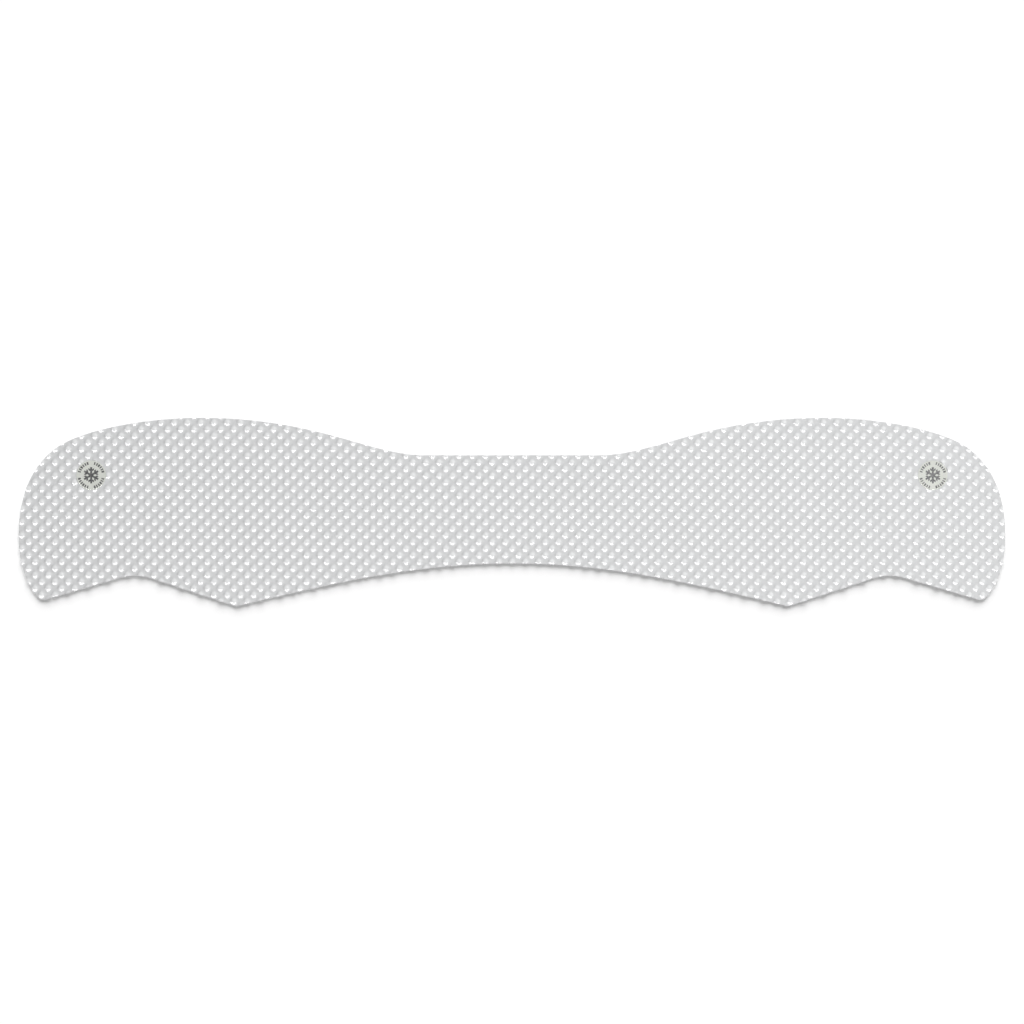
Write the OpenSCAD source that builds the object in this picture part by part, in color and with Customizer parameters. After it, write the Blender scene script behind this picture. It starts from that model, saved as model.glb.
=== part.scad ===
// Clear stick-on traction pad that lies between the bindings of a snowboard.
// A clear studded sheet carries two domed badges and a film of adhesive, and a
// split release liner covers the adhesive until the pad is stuck down.
// The sheet's solid goes up to the stud tops, where a boot stands, with a round
// landing sunk between the studs for each badge.
// The origin is at the middle of the underside. X runs along the pad, Y from the
// tips to the crests, and Z out of the studs.

/* [Outline] */
// Length of the pad, end to end
pad_length = 400; // [330:1:490]
// Width of the pad, from the tips to the crests
pad_width = 76.4; // [63:0.2:92]
// Half length of the straight waist in the middle of the crest side
waist_half = 36; // [20:1:44]
// How far the waist lies below the crests
waist_dip = 15.2; // [8:0.2:20]
// Distance of each crest from its end of the pad
crest_inset = 74; // [66:1:90]
// Distance of each shoulder point from its end of the pad
shoulder_inset = 14; // [11:0.5:18]
// How far the shoulder point lies below the crest
shoulder_drop = 13.15; // [10:0.05:16]
// Slope of the outline at the shoulder point, in degrees
shoulder_slope = 40; // [34:1:48]
// How far the widest point of each end lies below the middle line
end_drop = 10; // [6:0.5:12]
// Distance of the heel's centre from its end of the pad
heel_inset = 10; // [8:0.5:12]
// Height of the heel's centre above the tips
heel_rise = 5.8; // [5:0.1:8]
// Radius of each heel corner
heel_r = 3.2; // [2:0.1:4.5]
// Distance of each notch from its end of the pad
notch_inset = 47.4; // [42:0.2:54]
// Height of the notch above the tips, before it is rounded
notch_rise = 13.4; // [10:0.2:16]
// Radius that rounds each notch
notch_r = 20; // [8:1:24]
// Distance of each sharp tip from its end of the pad
tip_inset = 88; // [80:1:96]
// Height of the arch between the tips
arch_rise = 17.4; // [10:0.2:22]

/* [Layers] */
// Thickness of the release liner
liner_t = 0.15; // [0.1:0.01:0.3]
// Width of the slit between the two halves of the liner
liner_slit = 0.3; // [0.1:0.05:1]
// Thickness of the adhesive film
adhesive_t = 0.2; // [0.1:0.05:0.5]
// Thickness of the clear sheet under its studs
sheet_t = 1; // [0.6:0.1:2]

/* [Studs] */
// Height of the layer of studs, from the sheet to the stud tops
stud_h = 0.75; // [0.4:0.05:1.2]

/* [Badges] */
// Diameter of each badge
badge_d = 12; // [9:0.5:16]
// Distance of each badge's centre from its end of the pad
badge_inset = 29.4; // [26:0.2:36]
// How far each badge's centre lies below the crests
badge_drop = 23.3; // [20:0.1:30]
// Gap between a badge and the edge of its landing
badge_gap = 0.2; // [0.1:0.05:1]
// Thickness of the badge's glue
glue_t = 0.1; // [0.05:0.05:0.3]
// Thickness of the badge's printed film
film_t = 0.1; // [0.05:0.05:0.3]
// Height of the resin lens at its rim
lens_rim = 0.3; // [0.2:0.05:0.8]
// Height of the lens's dome above its rim
lens_rise = 0.5; // [0.3:0.05:1]

/* [Hidden] */

// Straight pieces of each curve of the outline
CURVE_STEPS = 14;
// Straight pieces of each rounded corner
CORNER_STEPS = 6;
// Fineness of the true circles and spheres
ROUND = 64;
// Handle lengths of each curve, as shares of its span, first end and second end
RAMP_BEND = [0.237, 0.52];
CREST_BEND = [0.412, 0.196];
SHOULDER_BEND = [0.211, 0.613];
END_BEND = 0.44;
HEEL_BEND = 0.28;
ARCH_BEND = [0.355, 0.357];
// Slopes of the outline where its curves meet the heel, the notch and the tip, in degrees
HEEL_SIDE_SLOPE = 50;
HEEL_UNDER_SLOPE = 18;
TIP_SLOPE = 13.3;

half_l = pad_length / 2;
crest_y = pad_width / 2;
tip_y = -pad_width / 2;
adhesive_z = liner_t;
sheet_z = adhesive_z + adhesive_t;
// Level of the sheet between the studs, where the badges sit
sheet_top = sheet_z + sheet_t;
film_z = sheet_top + glue_t;
lens_z = film_z + film_t;
badge_x = half_l - badge_inset;
badge_y = crest_y - badge_drop;
landing_r = badge_d / 2 + badge_gap;

// Corner points of the right half of the outline
waist = [waist_half, crest_y - waist_dip];
crest = [half_l - crest_inset, crest_y];
shoulder = [half_l - shoulder_inset, crest_y - shoulder_drop];
end_point = [half_l, -end_drop];
heel = [half_l - heel_inset, tip_y + heel_rise];
notch = [half_l - notch_inset, tip_y + notch_rise];
tip = [half_l - tip_inset, tip_y];
arch = [0, tip_y + arch_rise];
heel_side = heel + heel_r * towards(HEEL_SIDE_SLOPE - 90);
heel_under = heel + heel_r * towards(-HEEL_UNDER_SLOPE - 90);

function towards(angle) = [cos(angle), sin(angle)];

// Cubic curve through four control points, without its last point
function curve(a, b, c, d) = [
    for (i = [0:CURVE_STEPS - 1]) let (t = i / CURVE_STEPS, u = 1 - t)
        u * u * u * a + 3 * u * u * t * b + 3 * u * t * t * c + t * t * t * d
];

// Arc about a centre, from one angle to another, with both its ends
function arc(centre, r, from, to) = [
    for (i = [0:CORNER_STEPS]) centre + r * towards(from + (to - from) * i / CORNER_STEPS)
];

// Arc of radius r that rounds the corner v between a and b
function rounded(a, v, b, r) = let (
    u = (a - v) / norm(a - v),
    w = (b - v) / norm(b - v),
    half_angle = acos(u * w) / 2,
    centre = v + (u + w) / norm(u + w) * r / sin(half_angle),
    start = v + u * r / tan(half_angle) - centre,
    finish = v + w * r / tan(half_angle) - centre
) [
    for (i = [0:CORNER_STEPS]) let (t = i / CORNER_STEPS, p = (1 - t) * start + t * finish)
        centre + r * p / norm(p)
];

// Right half of the outline, from the middle of the waist round to the middle of the arch
right_half = concat(
    curve(waist, waist + [RAMP_BEND[0] * (crest.x - waist.x), 0],
        crest - [RAMP_BEND[1] * (crest.x - waist.x), 0], crest),
    curve(crest, crest + [CREST_BEND[0] * (shoulder.x - crest.x), 0],
        shoulder - CREST_BEND[1] * (shoulder.x - crest.x) * towards(-shoulder_slope), shoulder),
    curve(shoulder,
        shoulder + SHOULDER_BEND[0] * (shoulder.y - end_point.y) * towards(-shoulder_slope),
        end_point + [0, SHOULDER_BEND[1] * (shoulder.y - end_point.y)], end_point),
    curve(end_point, end_point - [0, END_BEND * (end_point.y - heel_side.y)],
        heel_side + HEEL_BEND * (end_point.y - heel_side.y) * towards(HEEL_SIDE_SLOPE), heel_side),
    arc(heel, heel_r, HEEL_SIDE_SLOPE - 90, -HEEL_UNDER_SLOPE - 90),
    rounded(heel_under, notch, tip, notch_r),
    curve(tip, tip - ARCH_BEND[0] * tip.x * towards(-TIP_SLOPE),
        arch + [ARCH_BEND[1] * tip.x, 0], arch)
);
function mirrored(points) = [for (i = [len(points) - 1:-1:0]) [-points[i].x, points[i].y]];
outline = concat(right_half, [arch], mirrored(right_half));

module pad_layer(z, t) {
    translate([0, 0, z]) linear_extrude(t) polygon(outline);
}

module liner_half(side) {
    intersection() {
        pad_layer(0, liner_t);
        translate([side > 0 ? liner_slit / 2 : -pad_length, -pad_width, -liner_t])
            cube([pad_length - liner_slit / 2, 2 * pad_width, 3 * liner_t]);
    }
}

module at_badge(side) {
    translate([side * badge_x, badge_y, 0]) children();
}

module liner_left() { color("white") liner_half(-1); }
module liner_right() { color("white") liner_half(1); }
module adhesive_film() { color("gainsboro") pad_layer(adhesive_z, adhesive_t); }

module grip_sheet() {
    color("lightgray") difference() {
        pad_layer(sheet_z, sheet_t + stud_h);
        for (side = [-1, 1]) at_badge(side)
            translate([0, 0, sheet_top]) cylinder(r = landing_r, h = 2 * stud_h, $fn = ROUND);
    }
}

module badge_disc(side, z, t) {
    at_badge(side) translate([0, 0, z]) cylinder(d = badge_d, h = t, $fn = ROUND);
}

// Flat disc with a dome of a single true sphere on it
module badge_lens(side) {
    dome_r = (badge_d * badge_d / 4 + lens_rise * lens_rise) / (2 * lens_rise);
    at_badge(side) translate([0, 0, lens_z]) intersection() {
        cylinder(d = badge_d, h = lens_rim + 2 * lens_rise, $fn = ROUND);
        translate([0, 0, lens_rim + lens_rise - dome_r]) sphere(r = dome_r, $fn = 4 * ROUND);
    }
}

module badge_glue_left() { color("whitesmoke") badge_disc(-1, sheet_top, glue_t); }
module badge_glue_right() { color("whitesmoke") badge_disc(1, sheet_top, glue_t); }
module badge_film_left() { color("silver") badge_disc(-1, film_z, film_t); }
module badge_film_right() { color("silver") badge_disc(1, film_z, film_t); }
module badge_lens_left() { color("gainsboro") badge_lens(-1); }
module badge_lens_right() { color("gainsboro") badge_lens(1); }

liner_left();
liner_right();
adhesive_film();
grip_sheet();
badge_glue_left();
badge_glue_right();
badge_film_left();
badge_film_right();
badge_lens_left();
badge_lens_right();
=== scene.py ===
"""Looks of a clear studded traction pad with two domed badges and a split release liner."""

from math import cos, pi, radians, sin, sqrt

import bmesh
import bpy
import numpy as np
from bpy.props import FloatProperty, FloatVectorProperty, IntProperty, PointerProperty
from bpy.types import Operator, Panel, PropertyGroup
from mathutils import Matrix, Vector


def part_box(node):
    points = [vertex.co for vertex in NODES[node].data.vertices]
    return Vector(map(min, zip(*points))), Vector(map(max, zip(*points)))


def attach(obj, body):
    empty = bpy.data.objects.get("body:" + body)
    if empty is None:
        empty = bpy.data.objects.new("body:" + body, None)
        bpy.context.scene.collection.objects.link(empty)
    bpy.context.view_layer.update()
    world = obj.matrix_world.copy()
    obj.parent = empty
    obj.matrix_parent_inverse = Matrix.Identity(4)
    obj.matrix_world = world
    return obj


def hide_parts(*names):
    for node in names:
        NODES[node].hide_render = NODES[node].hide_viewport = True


bl_info = {
    "name": "Studded traction pad",
    "version": (1, 0, 0),
    "blender": (4, 5, 0),
    "location": "3D View > Sidebar > Pad",
    "description": "Builds the visible pieces and finishes of a clear studded traction pad",
    "category": "Object",
}

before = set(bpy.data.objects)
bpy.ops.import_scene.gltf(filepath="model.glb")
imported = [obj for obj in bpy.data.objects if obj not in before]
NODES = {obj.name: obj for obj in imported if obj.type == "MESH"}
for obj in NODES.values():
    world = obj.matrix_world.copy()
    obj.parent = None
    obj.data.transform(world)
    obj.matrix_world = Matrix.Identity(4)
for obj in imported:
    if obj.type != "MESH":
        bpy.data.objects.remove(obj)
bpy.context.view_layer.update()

MM = 0.001
PAD_BODY = "pad"
SIDES = {"left": -1, "right": 1}
SHEET_LOW, STUDS_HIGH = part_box("grip_sheet")
SHEET_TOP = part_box("badge_glue_right")[0].z
STUD_HEIGHT = STUDS_HIGH.z - SHEET_TOP
FILM_LOW, FILM_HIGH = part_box("badge_film_right")
LENS_LOW, LENS_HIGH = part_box("badge_lens_right")
BADGE_X = (FILM_LOW.x + FILM_HIGH.x) / 2
BADGE_Y = (FILM_LOW.y + FILM_HIGH.y) / 2
BADGE_RADIUS = (FILM_HIGH.x - FILM_LOW.x) / 2

# Corners of the CAD's loose triangles, and rims of the stud cells, merge when closer than these
CAD_WELD = 0.0005 * MM
CELL_WELD = 0.01 * MM

SHARP_ANGLE = radians(60)
LENS_STEPS = 20
LENS_SIDES = 72

# The floor lies just under the liner, so the two never share a level
FLOOR_REACH = 4
FLOOR_GAP = 0.02 * MM

# Where each lamp stands, in metres from the middle of the pad
KEY_PLACE = (0.06, 1, 0.68)
UNDER_PLACE = (0.3, -0.4, -1)
TOP_PLACE = (0.5, 0.2, 1.5)
FRONT_PLACE = (-0.15, -1, 0.4)

# How wide the suns look, in degrees, and how large the panels are, in metres
KEY_WIDTH = 56
UNDER_WIDTH = 40
TOP_SIZE = (0.8, 0.8)
FRONT_SIZE = (3, 0.75)


# ---------------------------------------------------------------- sizes and colours


class StudSettings(PropertyGroup):
    """Pattern and shape of the moulded studs."""

    pitch: FloatProperty(
        name="Pitch", description="Distance between neighbouring studs along a diagonal row",
        default=3.8 * MM, min=3 * MM, max=5 * MM, unit="LENGTH", precision=5,
    )
    width: FloatProperty(
        name="Width", description="Width of a stud's foot from corner to corner",
        default=3.2 * MM, min=2 * MM, max=3.7 * MM, unit="LENGTH", precision=5,
    )
    shift: FloatProperty(
        name="Shift", description="How far the pattern is moved towards the crests",
        default=1.5 * MM, min=0, max=2.6 * MM, unit="LENGTH", precision=5,
    )
    roundness: FloatProperty(
        name="Roundness", description="1 gives a diamond foot and 2 a round one",
        default=1.55, min=1, max=2, subtype="FACTOR",
    )
    flatness: FloatProperty(
        name="Flatness", description="Power of the dome: 2 is round and more is flatter on top",
        default=3.2, min=1.5, max=5,
    )


class BadgeSettings(PropertyGroup):
    """Print and lens of the two round badges."""

    ring_radius: FloatProperty(
        name="Ring radius", description="Radius of the ring of plain marks",
        default=4.95 * MM, min=3 * MM, max=5.6 * MM, unit="LENGTH", precision=5,
    )
    mark_length: FloatProperty(
        name="Mark length", description="Length of each mark of the ring, outwards",
        default=1.15 * MM, min=0.3 * MM, max=1.4 * MM, unit="LENGTH", precision=5,
    )
    star_radius: FloatProperty(
        name="Star radius", description="Length of each arm of the snow star",
        default=3.3 * MM, min=1 * MM, max=4 * MM, unit="LENGTH", precision=5,
    )
    ink_height: FloatProperty(
        name="Ink height", description="Thickness of the printed ink",
        default=0.02 * MM, min=0.005 * MM, max=0.05 * MM, unit="LENGTH", precision=6,
    )
    marks: IntProperty(
        name="Marks", description="Number of marks in each of the ring's four groups",
        default=6, min=2, max=16,
    )


class FinishSettings(PropertyGroup):
    """Colours of the finishes."""

    plastic: FloatVectorProperty(
        name="Plastic", description="Colour of the clear moulded plastic over its white liner",
        default=(0.62, 0.625, 0.63), min=0, max=1, subtype="COLOR",
    )
    adhesive: FloatVectorProperty(
        name="Adhesive", description="Colour of the adhesive film",
        default=(0.66, 0.665, 0.66), min=0, max=1, subtype="COLOR",
    )
    paper: FloatVectorProperty(
        name="Paper", description="Colour of the release paper",
        default=(0.78, 0.78, 0.77), min=0, max=1, subtype="COLOR",
    )
    film: FloatVectorProperty(
        name="Film", description="Colour of the badge's printed film",
        default=(0.70, 0.71, 0.665), min=0, max=1, subtype="COLOR",
    )
    ink: FloatVectorProperty(
        name="Ink", description="Colour of the badge's ink",
        default=(0.012, 0.012, 0.013), min=0, max=1, subtype="COLOR",
    )


class StageSettings(PropertyGroup):
    """Camera, lamps and floor."""

    lens: FloatProperty(
        name="Lens", description="Focal length of the camera in millimetres",
        default=100, min=20, max=300,
    )
    frame_width: FloatProperty(
        name="Frame width", description="Width that the camera takes in at the pad's top",
        default=415.2 * MM, min=0.1, max=2, unit="LENGTH",
    )
    fill: FloatProperty(
        name="Fill", description="Strength of the even light from all round",
        default=0.28, min=0, max=2,
    )
    key: FloatProperty(
        name="Key", description="Strength of the low sun beyond the crests, for the floor alone",
        default=4.25, min=0, max=10,
    )
    top: FloatProperty(
        name="Top", description="Radiance of the lamp above the pad, for all but the floor",
        default=11.0, min=0, max=50,
    )
    under: FloatProperty(
        name="Under", description="Strength of the sun below the pad, for all but the floor",
        default=0.75, min=0, max=10,
    )
    front: FloatProperty(
        name="Front", description="Radiance of the low lamp in front of the tips, seen in gloss alone",
        default=9.5, min=0, max=50,
    )


SETTINGS = {
    "pad_studs": StudSettings,
    "pad_badges": BadgeSettings,
    "pad_finishes": FinishSettings,
    "pad_stage": StageSettings,
}


# ---------------------------------------------------------------- meshes


def mesh_object(name, points, faces, material):
    """A new smooth piece at the origin from its corner points and faces."""
    mesh = bpy.data.meshes.new(name)
    mesh.from_pydata(points, [], faces)
    mesh.shade_smooth()
    mesh.materials.append(material)
    piece = bpy.data.objects.new(name, mesh)
    bpy.context.scene.collection.objects.link(piece)
    return piece


def edit(piece, work):
    """Runs work(bm) on the piece's mesh as a bmesh, then points its faces outwards."""
    bm = bmesh.new()
    bm.from_mesh(piece.data)
    work(bm)
    bmesh.ops.recalc_face_normals(bm, faces=bm.faces[:])
    bm.to_mesh(piece.data)
    bm.free()


def merged_copy(node, name):
    """Copy of a CAD node's loose triangles with their shared corners merged."""
    copy = bpy.data.objects.new(name, NODES[node].data.copy())
    bpy.context.scene.collection.objects.link(copy)
    edit(copy, lambda bm: bmesh.ops.remove_doubles(bm, verts=bm.verts[:], dist=CAD_WELD))
    return copy


def keep_inside(piece, tool):
    """Keeps the part of a closed piece that lies in a closed tool, and removes the tool.

    The cut faces bring the tool's own normals with them, and these are dropped.
    """
    boolean = piece.modifiers.new("Cut", "BOOLEAN")
    boolean.operation = "INTERSECT"
    boolean.solver = "MANIFOLD"
    boolean.object = tool
    shown = piece.evaluated_get(bpy.context.evaluated_depsgraph_get())
    mesh = bpy.data.meshes.new_from_object(shown)
    tool_normals = mesh.attributes.get("custom_normal")
    if tool_normals:
        mesh.attributes.remove(tool_normals)
    piece.modifiers.clear()
    piece.data = mesh
    bpy.data.objects.remove(tool)


def revolved(name, profile, centre, sides, material):
    """Closed surface of revolution about Z: the profile's points (r, z) turned round the centre.

    The profile runs from the underside's middle, where r is 0, to the top's middle.
    """
    angle = np.arange(sides) * 2 * pi / sides
    ring = profile[1:-1]
    x = centre[0] + ring[:, :1] * np.cos(angle)
    y = centre[1] + ring[:, :1] * np.sin(angle)
    z = np.repeat(ring[:, 1:], sides, axis=1)
    ends = [[centre[0], centre[1], profile[0, 1]], [centre[0], centre[1], profile[-1, 1]]]
    points = np.concatenate([np.stack([x, y, z], axis=-1).reshape(-1, 3), ends])
    here = np.arange(sides)
    there = (here + 1) % sides
    low = (np.arange(len(ring) - 1) * sides)[:, None]
    quads = np.stack([low + here, low + there, low + sides + there, low + sides + here], axis=-1)
    last = (len(ring) - 1) * sides
    base = len(ring) * sides
    under = np.column_stack([there, here, np.full(sides, base)])
    over = np.column_stack([last + here, last + there, np.full(sides, base + 1)])
    faces = quads.reshape(-1, 4).tolist() + under.tolist() + over.tolist()
    return mesh_object(name, points, faces, material)


def prisms(name, outlines, low, high, material):
    """One flat closed block for each outline, from the level low to the level high."""
    points = []
    faces = []
    for outline in outlines:
        start = len(points)
        count = len(outline)
        points += [(x, y, low) for x, y in outline]
        points += [(x, y, high) for x, y in outline]
        faces.append([start + count + i for i in range(count)])
        faces.append([start + i for i in reversed(range(count))])
        for i in range(count):
            j = (i + 1) % count
            faces.append([start + i, start + j, start + count + j, start + count + i])
    piece = mesh_object(name, points, faces, material)
    piece.data.shade_flat()
    edit(piece, lambda bm: bmesh.ops.triangulate(bm, faces=bm.faces[:]))
    return piece


# ---------------------------------------------------------------- studded sheet


def stud_centres(studs):
    """Points of a square grid turned by 45 degrees: whole steps i and j whose sum is even.

    The grid reaches 3 steps past the pad, and 1 more across it to make up for the shift.
    """
    past = 3
    step = studs.pitch / sqrt(2)
    cols = int(STUDS_HIGH.x / step) + past
    rows = int(STUDS_HIGH.y / step) + past + 1
    i, j = np.meshgrid(np.arange(-cols, cols + 1), np.arange(-rows, rows + 1), indexing="ij")
    even = (i + j) % 2 == 0
    return np.stack([i[even] * step, j[even] * step + studs.shift], axis=1)


def stud_field(studs):
    """Points and faces of a studded surface that is larger than the pad.

    Each stud stands in its own diamond cell. Its rings lie at r(a) s, where a is the angle and
    r(a) = R / (|cos a|^p + |sin a|^p)^(1/p) is a diamond rounded by the power p, and its height
    there is h (1 - s^q). The cells' rims lie on their neighbours' rims.
    """
    sides = 12
    shares = np.array([1, 0.86, 0.5])
    angle = np.arange(sides) * 2 * pi / sides
    across = np.stack([np.cos(angle), np.sin(angle)], axis=1)
    foot = studs.width / 2 / (np.abs(across) ** studs.roundness).sum(axis=1) ** (1 / studs.roundness)
    rim = studs.pitch / sqrt(2) / np.abs(across).sum(axis=1)
    reach = np.concatenate([rim[None], shares[:, None] * foot])
    level = np.concatenate([[0], STUD_HEIGHT * (1 - shares**studs.flatness)])
    rings = np.empty((len(reach), sides, 3))
    rings[..., :2] = reach[..., None] * across
    rings[..., 2] = level[:, None]
    cell = np.concatenate([rings.reshape(-1, 3), [[0, 0, STUD_HEIGHT]]])
    centres = stud_centres(studs)
    spots = np.column_stack([centres, np.full(len(centres), SHEET_TOP)])
    points = (spots[:, None] + cell).reshape(-1, 3)

    here = np.arange(sides)
    there = (here + 1) % sides
    ring = (np.arange(len(shares)) * sides)[:, None]
    quads = np.stack([ring + here, ring + there, ring + sides + there, ring + sides + here], axis=-1)
    top = len(shares) * sides
    fans = np.column_stack([top + here, top + there, np.full(sides, top + sides)])
    starts = (np.arange(len(centres)) * len(cell))[:, None, None]
    faces = (starts + quads.reshape(-1, 4)).reshape(-1, 4).tolist()
    faces += (starts + fans).reshape(-1, 3).tolist()
    return points, faces


def close_below(bm, low):
    """Merges the cells' rims, carries the outer rim down to the level low and fills it."""
    bmesh.ops.remove_doubles(bm, verts=bm.verts[:], dist=CELL_WELD)
    rim = [edge for edge in bm.edges if edge.is_boundary]
    made = bmesh.ops.extrude_edge_only(bm, edges=rim)["geom"]
    for vert in (item for item in made if isinstance(item, bmesh.types.BMVert)):
        vert.co.z = low
    rim = [edge for edge in bm.edges if edge.is_boundary]
    base = bmesh.ops.contextual_create(bm, geom=rim)["faces"]
    bmesh.ops.triangulate(bm, faces=base)


def grip_skin(studs, material):
    """Studded block cut to the outline and the badge landings of the CAD sheet.

    The block reaches below the CAD sheet, and the tool is that sheet with its top lifted clear of
    the studs, so only its sides, its underside and the floors of the landings cut.
    """
    spare = MM
    points, faces = stud_field(studs)
    piece = mesh_object("grip_sheet_skin", points, faces, material)
    edit(piece, lambda bm: close_below(bm, SHEET_LOW.z - spare))
    tool = merged_copy("grip_sheet", "outline_tool")
    places = np.empty(3 * len(tool.data.vertices))
    tool.data.vertices.foreach_get("co", places)
    level = places[2::3]
    level[level > STUDS_HIGH.z - STUD_HEIGHT / 2] += spare
    tool.data.vertices.foreach_set("co", places)
    keep_inside(piece, tool)
    piece.data.set_sharp_from_angle(angle=SHARP_ANGLE)
    return piece


# ---------------------------------------------------------------- badges


def lens_profile():
    """Half section (r, z) of poured resin: z = H (1 - c s^2) (1 - s^n)^(1/2), where s is r / R.

    The first bracket is the shallow dome, and the second one rounds the rim.
    """
    height = LENS_HIGH.z - LENS_LOW.z
    dome = 0.6
    rim_power = 36
    share = np.sin(np.linspace(pi / 2, 0, LENS_STEPS))
    level = LENS_LOW.z + height * (1 - dome * share**2) * np.sqrt(1 - share**rim_power)
    curve = np.column_stack([BADGE_RADIUS * share, level])
    return np.concatenate([[[0, LENS_LOW.z]], curve])


def ring_marks(badges, centre):
    """Outlines of short marks round the badge, in four groups.

    Each mark has a slot of the group's quarter turn, and the first and last slots stay empty. Every
    third mark is wide. Half a mark's width is its slot's width times thin or wide.
    """
    thin = 0.26
    wide = 0.36
    inner = badges.ring_radius - badges.mark_length / 2
    outer = badges.ring_radius + badges.mark_length / 2
    slots = badges.marks + 2
    marks = []
    for group in range(4):
        for k in range(badges.marks):
            middle = (group + (k + 1.5) / slots) * pi / 2
            half = (wide if k % 3 == 0 else thin) * pi / 2 / slots
            marks.append([
                (centre[0] + r * cos(middle + t), centre[1] + r * sin(middle + t))
                for r, t in ((inner, -half), (outer, -half), (outer, half), (inner, half))
            ])
    return marks


def snow_star(badges, centre):
    """Outline of a six-armed star: straight arms of one width, each with a pair of barbs.

    root is where neighbouring arms meet, barb is where the barbs leave an arm, and reach is how
    long they are.
    """
    width = 0.24 * badges.star_radius
    root = width / 2 / np.tan(pi / 6)
    barb = 0.5 * badges.star_radius
    reach = 0.26 * badges.star_radius
    side = np.array([
        [root, width / 2],
        [barb, width / 2],
        [barb + reach / 2, width / 2 + reach * sin(pi / 3)],
        [barb + reach / 2 + width, width / 2 + reach * sin(pi / 3)],
        [barb + width, width / 2],
        [badges.star_radius, width / 2],
    ])
    other = side[:0:-1] * [1, -1]
    arm = np.concatenate([other[::-1], side[::-1]])
    outline = []
    for k in range(6):
        turn = k * pi / 3 + pi / 6
        for u, v in arm:
            outline.append((
                centre[0] + u * cos(turn) - v * sin(turn),
                centre[1] + u * sin(turn) + v * cos(turn),
            ))
    return outline


# ---------------------------------------------------------------- finishes


def node_group(name, inputs, outputs):
    """New shader node group with named sockets, and its input and output nodes."""
    group = bpy.data.node_groups.new(name, "ShaderNodeTree")
    for label, kind, value in inputs:
        socket = group.interface.new_socket(label, in_out="INPUT", socket_type=kind)
        if value is not None:
            socket.default_value = value
    for label, kind in outputs:
        group.interface.new_socket(label, in_out="OUTPUT", socket_type=kind)
    return group, group.nodes.new("NodeGroupInput"), group.nodes.new("NodeGroupOutput")


def grain_group():
    """Fine uneven grain: a colour mottled between two tones, a roughness and a height.

    The mottling is broader than the grain, at a small share of its scale.
    """
    broad_share = 0.06
    group, start, end = node_group(
        "Fine grain",
        [
            ("Vector", "NodeSocketVector", None),
            ("Scale", "NodeSocketFloat", 800.0),
            ("Light", "NodeSocketColor", (0.8, 0.8, 0.8, 1)),
            ("Dark", "NodeSocketColor", (0.7, 0.7, 0.7, 1)),
            ("Smooth", "NodeSocketFloat", 0.2),
            ("Rough", "NodeSocketFloat", 0.4),
        ],
        [
            ("Color", "NodeSocketColor"),
            ("Roughness", "NodeSocketFloat"),
            ("Height", "NodeSocketFloat"),
        ],
    )
    broad = group.nodes.new("ShaderNodeTexNoise")
    broad.inputs["Detail"].default_value = 3
    slow = group.nodes.new("ShaderNodeMath")
    slow.operation = "MULTIPLY"
    slow.inputs[1].default_value = broad_share
    fine = group.nodes.new("ShaderNodeTexNoise")
    fine.inputs["Detail"].default_value = 4
    colour = group.nodes.new("ShaderNodeMix")
    colour.data_type = "RGBA"
    rough = group.nodes.new("ShaderNodeMapRange")
    link = group.links.new
    link(start.outputs["Vector"], broad.inputs["Vector"])
    link(start.outputs["Scale"], slow.inputs[0])
    link(slow.outputs[0], broad.inputs["Scale"])
    link(start.outputs["Vector"], fine.inputs["Vector"])
    link(start.outputs["Scale"], fine.inputs["Scale"])
    link(broad.outputs["Fac"], colour.inputs["Factor"])
    link(start.outputs["Dark"], colour.inputs["A"])
    link(start.outputs["Light"], colour.inputs["B"])
    link(fine.outputs["Fac"], rough.inputs["Value"])
    link(start.outputs["Smooth"], rough.inputs["To Min"])
    link(start.outputs["Rough"], rough.inputs["To Max"])
    link(colour.outputs["Result"], end.inputs["Color"])
    link(rough.outputs["Result"], end.inputs["Roughness"])
    link(fine.outputs["Fac"], end.inputs["Height"])
    return group


def grained(name, colour, contrast, scale, smooth, rough, bump, **plain):
    """Material whose colour, roughness and bump come from the shared grain.

    contrast is how far the darker tone falls below the colour, smooth and rough are the ends of
    the roughness, and bump is in metres. plain gives the shader's own sockets by name, with _ for
    a space.
    """
    material = bpy.data.materials.new(name)
    material.use_nodes = True
    tree = material.node_tree
    shader = tree.nodes["Principled BSDF"]
    place = tree.nodes.new("ShaderNodeTexCoord")
    grain = tree.nodes.new("ShaderNodeGroup")
    grain.node_tree = bpy.data.node_groups.get("Fine grain") or grain_group()
    grain.inputs["Scale"].default_value = scale
    grain.inputs["Light"].default_value = (*colour, 1)
    grain.inputs["Dark"].default_value = (*[c * (1 - contrast) for c in colour], 1)
    grain.inputs["Smooth"].default_value = smooth
    grain.inputs["Rough"].default_value = rough
    relief = tree.nodes.new("ShaderNodeBump")
    relief.inputs["Distance"].default_value = bump
    tree.links.new(place.outputs["Object"], grain.inputs["Vector"])
    tree.links.new(grain.outputs["Color"], shader.inputs["Base Color"])
    tree.links.new(grain.outputs["Roughness"], shader.inputs["Roughness"])
    tree.links.new(grain.outputs["Height"], relief.inputs["Height"])
    tree.links.new(relief.outputs["Normal"], shader.inputs["Normal"])
    for label, value in plain.items():
        shader.inputs[label.replace("_", " ")].default_value = value
    return material


def spread(tree, value, low, high, to_low, to_high):
    """Output that runs from to_low to to_high as the value runs from low to high."""
    node = tree.nodes.new("ShaderNodeMapRange")
    node.inputs["From Min"].default_value = low
    node.inputs["From Max"].default_value = high
    node.inputs["To Min"].default_value = to_low
    node.inputs["To Max"].default_value = to_high
    tree.links.new(value, node.inputs["Value"])
    return node.outputs["Result"]


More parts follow.
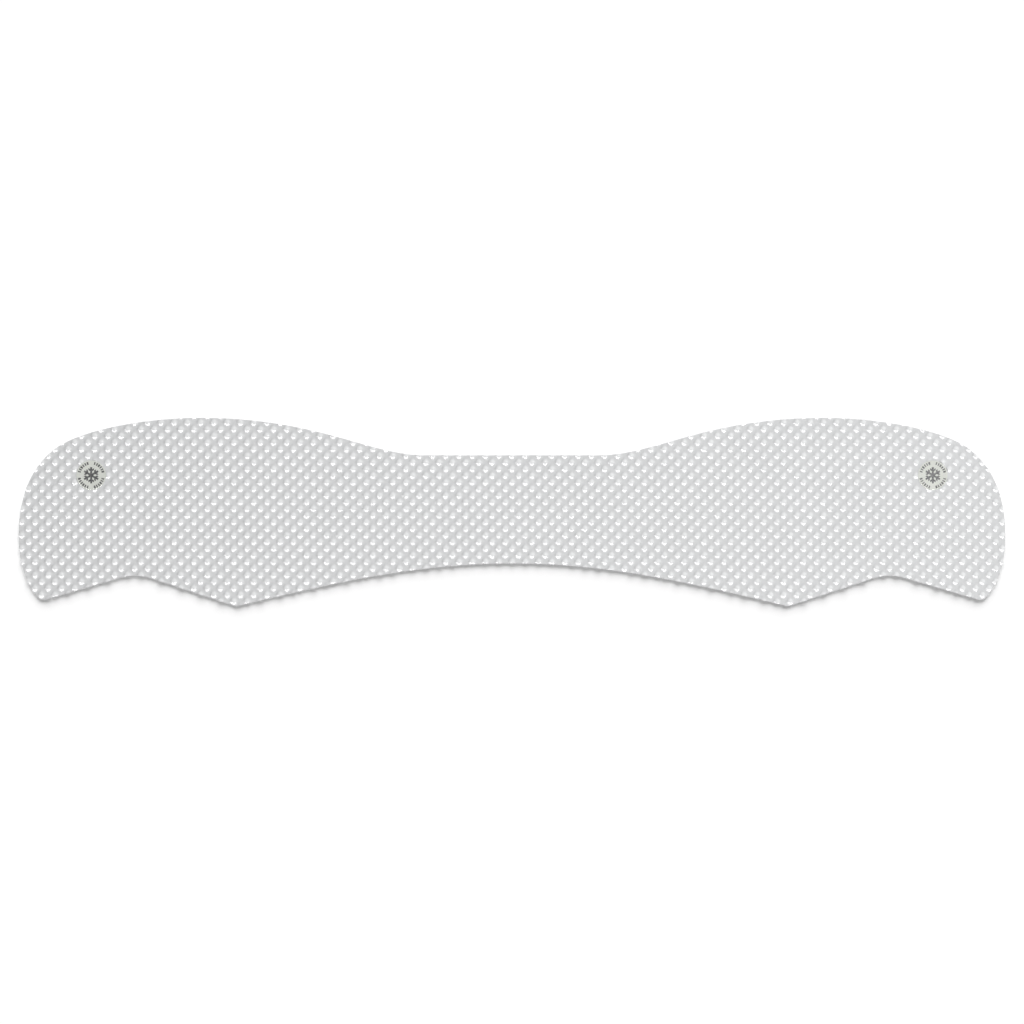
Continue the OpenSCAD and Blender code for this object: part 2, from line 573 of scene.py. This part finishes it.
def gloss_studs_and_paint_light(material, low, high):
    """Makes a material glossier up its studs, from the sheet's level to their tops, with painted shade
    at their feet and between them and painted light towards their tops.

    The sheet between the studs keeps the moulding's matt surface. The gloss begins and is full at
    these shares of a stud's height, and the painted shade and painted light are the colour's factors
    for a stud's foot and its top.
    """
    matt = 0.65
    gloss_begins = 0.04
    gloss_full = 0.25
    # Painted shade and painted light: the colour is multiplied by 0.97 at the studs' feet and in the
    # gaps, rising to 1.24 at their tops
    painted_foot_shade = 0.97
    painted_top_light = 1.24
    tree = material.node_tree
    shader = tree.nodes["Principled BSDF"]
    colour = shader.inputs["Base Color"].links[0].from_socket
    rough = shader.inputs["Roughness"].links[0].from_socket
    place = tree.nodes.new("ShaderNodeTexCoord")
    parts = tree.nodes.new("ShaderNodeSeparateXYZ")
    tree.links.new(place.outputs["Object"], parts.inputs["Vector"])
    level = spread(tree, parts.outputs["Z"], low, high, 0, 1)
    # Painted light: the base colour is made darker at each stud's foot and between studs, and paler up
    # to its top
    painted_light_mix = tree.nodes.new("ShaderNodeMix")
    painted_light_mix.data_type = "RGBA"
    painted_light_mix.blend_type = "MULTIPLY"
    painted_light_mix.inputs["Factor"].default_value = 1
    tree.links.new(colour, painted_light_mix.inputs["A"])
    tree.links.new(spread(tree, level, 0, 1, painted_foot_shade, painted_top_light), painted_light_mix.inputs["B"])
    tree.links.new(painted_light_mix.outputs["Result"], shader.inputs["Base Color"])
    gloss = spread(tree, level, gloss_begins, gloss_full, 0, 1)
    tree.links.new(gloss, shader.inputs["Coat Weight"])
    polish = tree.nodes.new("ShaderNodeMix")
    polish.inputs["A"].default_value = matt
    tree.links.new(gloss, polish.inputs["Factor"])
    tree.links.new(rough, polish.inputs["B"])
    tree.links.new(polish.outputs["Result"], shader.inputs["Roughness"])


def resin_material():
    """Clear poured resin with a glossy skin, which lets lamps light the print beneath it."""
    material = bpy.data.materials.new("Clear resin")
    material.use_nodes = True
    tree = material.node_tree
    shader = tree.nodes["Principled BSDF"]
    shader.inputs["Base Color"].default_value = (0.97, 0.98, 0.97, 1)
    shader.inputs["Roughness"].default_value = 0.02
    shader.inputs["IOR"].default_value = 1.04
    shader.inputs["Coat Weight"].default_value = 1
    shader.inputs["Coat Roughness"].default_value = 0.03
    shader.inputs["Transmission Weight"].default_value = 1
    clear = tree.nodes.new("ShaderNodeBsdfTransparent")
    path = tree.nodes.new("ShaderNodeLightPath")
    either = tree.nodes.new("ShaderNodeMath")
    either.operation = "MAXIMUM"
    mix = tree.nodes.new("ShaderNodeMixShader")
    tree.links.new(path.outputs["Is Shadow Ray"], either.inputs[0])
    tree.links.new(path.outputs["Is Diffuse Ray"], either.inputs[1])
    tree.links.new(either.outputs[0], mix.inputs["Fac"])
    tree.links.new(shader.outputs["BSDF"], mix.inputs[1])
    tree.links.new(clear.outputs["BSDF"], mix.inputs[2])
    tree.links.new(mix.outputs["Shader"], tree.nodes["Material Output"].inputs["Surface"])
    return material


def finish_node(node, material):
    """Gives a CAD node a material in place of its plain one."""
    slots = NODES[node].data.materials
    slots.clear()
    slots.append(material)


# ---------------------------------------------------------------- operators


class PAD_OT_liner(Operator):
    """Gives both halves of the release liner their paper, and the adhesive film its finish."""

    bl_idname = "pad.liner"
    bl_label = "Liner and adhesive"

    def execute(self, context):
        finishes = context.scene.pad_finishes
        paper = grained(
            "Release paper", finishes.paper, contrast=0.05, scale=2500, smooth=0.42, rough=0.6,
            bump=0.01 * MM, Coat_Weight=0.3, Coat_Roughness=0.25,
        )
        adhesive = grained(
            "Adhesive film", finishes.adhesive, contrast=0.06, scale=900, smooth=0.15,
            rough=0.35, bump=0.004 * MM,
        )
        finish_node("liner_left", paper)
        finish_node("liner_right", paper)
        finish_node("adhesive_film", adhesive)
        finish_node("badge_glue_left", adhesive)
        finish_node("badge_glue_right", adhesive)
        return {"FINISHED"}


class PAD_OT_grip_sheet(Operator):
    """Builds the clear sheet with its moulded studs in place of the plain sheet."""

    bl_idname = "pad.grip_sheet"
    bl_label = "Grip sheet"

    def execute(self, context):
        plastic = grained(
            "Clear moulded plastic", context.scene.pad_finishes.plastic, contrast=0.05,
            scale=1200, smooth=0.16, rough=0.28, bump=0.0015 * MM, Coat_Roughness=0.15, IOR=1.5,
        )
        # Glossier studs, with painted shade at their feet and between them and painted light at their
        # tops
        gloss_studs_and_paint_light(plastic, SHEET_TOP, STUDS_HIGH.z)
        skin = grip_skin(context.scene.pad_studs, plastic)
        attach(skin, PAD_BODY)
        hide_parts("grip_sheet")
        return {"FINISHED"}


class PAD_OT_badges(Operator):
    """Builds the print and the domed lens of both badges, and gives their film its finish."""

    bl_idname = "pad.badges"
    bl_label = "Badges"

    def execute(self, context):
        finishes = context.scene.pad_finishes
        badges = context.scene.pad_badges
        film = grained(
            "Printed film", finishes.film, contrast=0.1, scale=1500, smooth=0.3, rough=0.45,
            bump=0.002 * MM,
        )
        ink = grained(
            "Black ink", finishes.ink, contrast=0.3, scale=3000, smooth=0.3, rough=0.5,
            bump=0.002 * MM,
        )
        resin = resin_material()
        for name, side in SIDES.items():
            centre = (side * BADGE_X, BADGE_Y)
            finish_node("badge_film_" + name, film)
            lens = revolved("badge_dome_" + name, lens_profile(), centre, LENS_SIDES, resin)
            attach(lens, PAD_BODY)
            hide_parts("badge_lens_" + name)
            outlines = ring_marks(badges, centre) + [snow_star(badges, centre)]
            low = FILM_HIGH.z - badges.ink_height
            high = FILM_HIGH.z + badges.ink_height
            print_piece = prisms("badge_print_" + name, outlines, low, high, ink)
            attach(print_piece, PAD_BODY)
        return {"FINISHED"}


def white_for_looks(tree, plain, glow):
    """Mixes in a glow where a camera, glossy or transmission ray arrives."""
    path = tree.nodes.new("ShaderNodeLightPath")
    seen = None
    for label in ("Is Camera Ray", "Is Glossy Ray", "Is Transmission Ray"):
        if seen is None:
            seen = path.outputs[label]
            continue
        most = tree.nodes.new("ShaderNodeMath")
        most.operation = "MAXIMUM"
        tree.links.new(seen, most.inputs[0])
        tree.links.new(path.outputs[label], most.inputs[1])
        seen = most.outputs[0]
    mix = tree.nodes.new("ShaderNodeMixShader")
    tree.links.new(seen, mix.inputs["Fac"])
    tree.links.new(plain, mix.inputs[1])
    tree.links.new(glow, mix.inputs[2])
    return mix.outputs["Shader"]


def floor_material():
    """Matt white that looks white to the camera, keeps shadows and is clear from below."""
    material = bpy.data.materials.new("White floor")
    material.use_nodes = True
    tree = material.node_tree
    tree.nodes.remove(tree.nodes["Principled BSDF"])
    matt = tree.nodes.new("ShaderNodeBsdfDiffuse")
    matt.inputs["Color"].default_value = (0.92, 0.92, 0.92, 1)
    glow = tree.nodes.new("ShaderNodeEmission")
    glow.inputs["Strength"].default_value = 0.08
    both = tree.nodes.new("ShaderNodeAddShader")
    tree.links.new(matt.outputs["BSDF"], both.inputs[0])
    tree.links.new(glow.outputs["Emission"], both.inputs[1])
    shown = white_for_looks(tree, matt.outputs["BSDF"], both.outputs["Shader"])
    side = tree.nodes.new("ShaderNodeNewGeometry")
    clear = tree.nodes.new("ShaderNodeBsdfTransparent")
    mix = tree.nodes.new("ShaderNodeMixShader")
    tree.links.new(side.outputs["Backfacing"], mix.inputs["Fac"])
    tree.links.new(shown, mix.inputs[1])
    tree.links.new(clear.outputs["BSDF"], mix.inputs[2])
    tree.links.new(mix.outputs["Shader"], tree.nodes["Material Output"].inputs["Surface"])
    return material


def aim(thing, place, target=(0, 0, 0)):
    """Puts a lamp or camera at a place and points it at the target."""
    thing.location = place
    away = Vector(place) - Vector(target)
    thing.rotation_euler = away.to_track_quat("Z", "Y").to_euler()


class PAD_OT_stage(Operator):
    """Sets up the floor, the world, the lamps and the camera above the pad."""

    bl_idname = "pad.stage"
    bl_label = "Stage"

    def execute(self, context):
        stage = context.scene.pad_stage
        context.scene.view_settings.view_transform = "Standard"
        floor = self.add_floor()
        self.light_world(context.scene, stage.fill)
        self.add_lamps(context.scene, stage, floor)
        self.add_camera(context.scene, stage)
        return {"FINISHED"}

    def add_floor(self):
        """Square white floor just under the liner."""
        reach = FLOOR_REACH
        corners = [(-reach, -reach, 0), (reach, -reach, 0), (reach, reach, 0), (-reach, reach, 0)]
        floor = mesh_object("floor", corners, [(0, 1, 2, 3)], floor_material())
        floor.location.z = -FLOOR_GAP
        return floor

    def light_world(self, scene, fill):
        """Even light from all round, which looks white where it is seen or mirrored."""
        world = bpy.data.worlds.new("Studio")
        world.use_nodes = True
        tree = world.node_tree
        plain = tree.nodes["Background"]
        plain.inputs["Color"].default_value = (1, 1, 1, 1)
        plain.inputs["Strength"].default_value = fill
        white = tree.nodes.new("ShaderNodeBackground")
        white.inputs["Color"].default_value = (1, 1, 1, 1)
        shown = white_for_looks(tree, plain.outputs[0], white.outputs[0])
        tree.links.new(shown, tree.nodes["World Output"].inputs["Surface"])
        scene.world = world

    def add_lamps(self, scene, stage, floor):
        """Low sun for the shadows on the floor, lamps above and below the pad, and one in front.

        The floor neither takes nor stops the light from below.
        """
        only_floor = self.linked("Floor only", floor, "INCLUDE")
        all_but_floor = self.linked("All but the floor", floor, "EXCLUDE")
        key = self.lamp(self.sun("Key", KEY_WIDTH, stage.key), KEY_PLACE)
        key.visible_glossy = False
        key.light_linking.receiver_collection = only_floor
        under = self.lamp(self.sun("Under", UNDER_WIDTH, stage.under), UNDER_PLACE)
        under.visible_glossy = False
        under.light_linking.receiver_collection = all_but_floor
        under.light_linking.blocker_collection = all_but_floor
        top = self.lamp(self.panel("Top", TOP_SIZE, stage.top), TOP_PLACE)
        top.visible_glossy = False
        top.light_linking.receiver_collection = all_but_floor
        front = self.lamp(self.panel("Front", FRONT_SIZE, stage.front), FRONT_PLACE)
        front.visible_diffuse = False

    def sun(self, name, width, strength):
        """Sun that is as wide as the given degrees, for soft shadows."""
        sun = bpy.data.lights.new(name, "SUN")
        sun.energy = strength
        sun.angle = radians(width)
        return sun

    def panel(self, name, size, radiance):
        """Rectangular lamp that is as bright as the radiance from any distance."""
        width, height = size
        panel = bpy.data.lights.new(name, "AREA")
        panel.shape = "RECTANGLE"
        panel.size = width
        panel.size_y = height
        panel.energy = radiance * pi * width * height
        return panel

    def lamp(self, light, place):
        """Object for a light, aimed at the pad and unseen by the camera."""
        lamp = bpy.data.objects.new(light.name, light)
        lamp.visible_camera = False
        aim(lamp, place)
        bpy.context.scene.collection.objects.link(lamp)
        return lamp

    def linked(self, name, floor, state):
        """Collection that makes a lamp light the floor alone, or all but the floor."""
        group = bpy.data.collections.new(name)
        group.objects.link(floor)
        group.collection_objects[0].light_linking.link_state = state
        return group

    def add_camera(self, scene, stage):
        """Camera straight above the pad, at the height that gives the frame its width."""
        data = bpy.data.cameras.new("Camera")
        data.lens = stage.lens
        camera = bpy.data.objects.new("Camera", data)
        distance = stage.frame_width * stage.lens / data.sensor_width
        camera.location = (0, 0, SHEET_TOP + distance)
        scene.collection.objects.link(camera)
        scene.camera = camera


class PAD_PT_panel(Panel):
    """Sizes and colours of the pad, and a button for each group of pieces."""

    bl_idname = "PAD_PT_panel"
    bl_label = "Traction pad"
    bl_space_type = "VIEW_3D"
    bl_region_type = "UI"
    bl_category = "Pad"

    def draw(self, context):
        for name, settings in SETTINGS.items():
            box = self.layout.box()
            box.label(text=settings.__doc__)
            for key in settings.__annotations__:
                box.prop(getattr(context.scene, name), key)
        for operator in OPERATORS:
            self.layout.operator(operator.bl_idname)


OPERATORS = (PAD_OT_liner, PAD_OT_grip_sheet, PAD_OT_badges, PAD_OT_stage)
CLASSES = (*SETTINGS.values(), *OPERATORS, PAD_PT_panel)


def register():
    for cls in CLASSES:
        bpy.utils.register_class(cls)
    for name, settings in SETTINGS.items():
        setattr(bpy.types.Scene, name, PointerProperty(type=settings))


def unregister():
    for name in SETTINGS:
        delattr(bpy.types.Scene, name)
    for cls in reversed(CLASSES):
        bpy.utils.unregister_class(cls)


def main():
    """Builds every piece, then sets up the stage."""
    register()
    bpy.ops.pad.liner()
    bpy.ops.pad.grip_sheet()
    bpy.ops.pad.badges()
    bpy.ops.pad.stage()


if __name__ == "__main__":
    main()
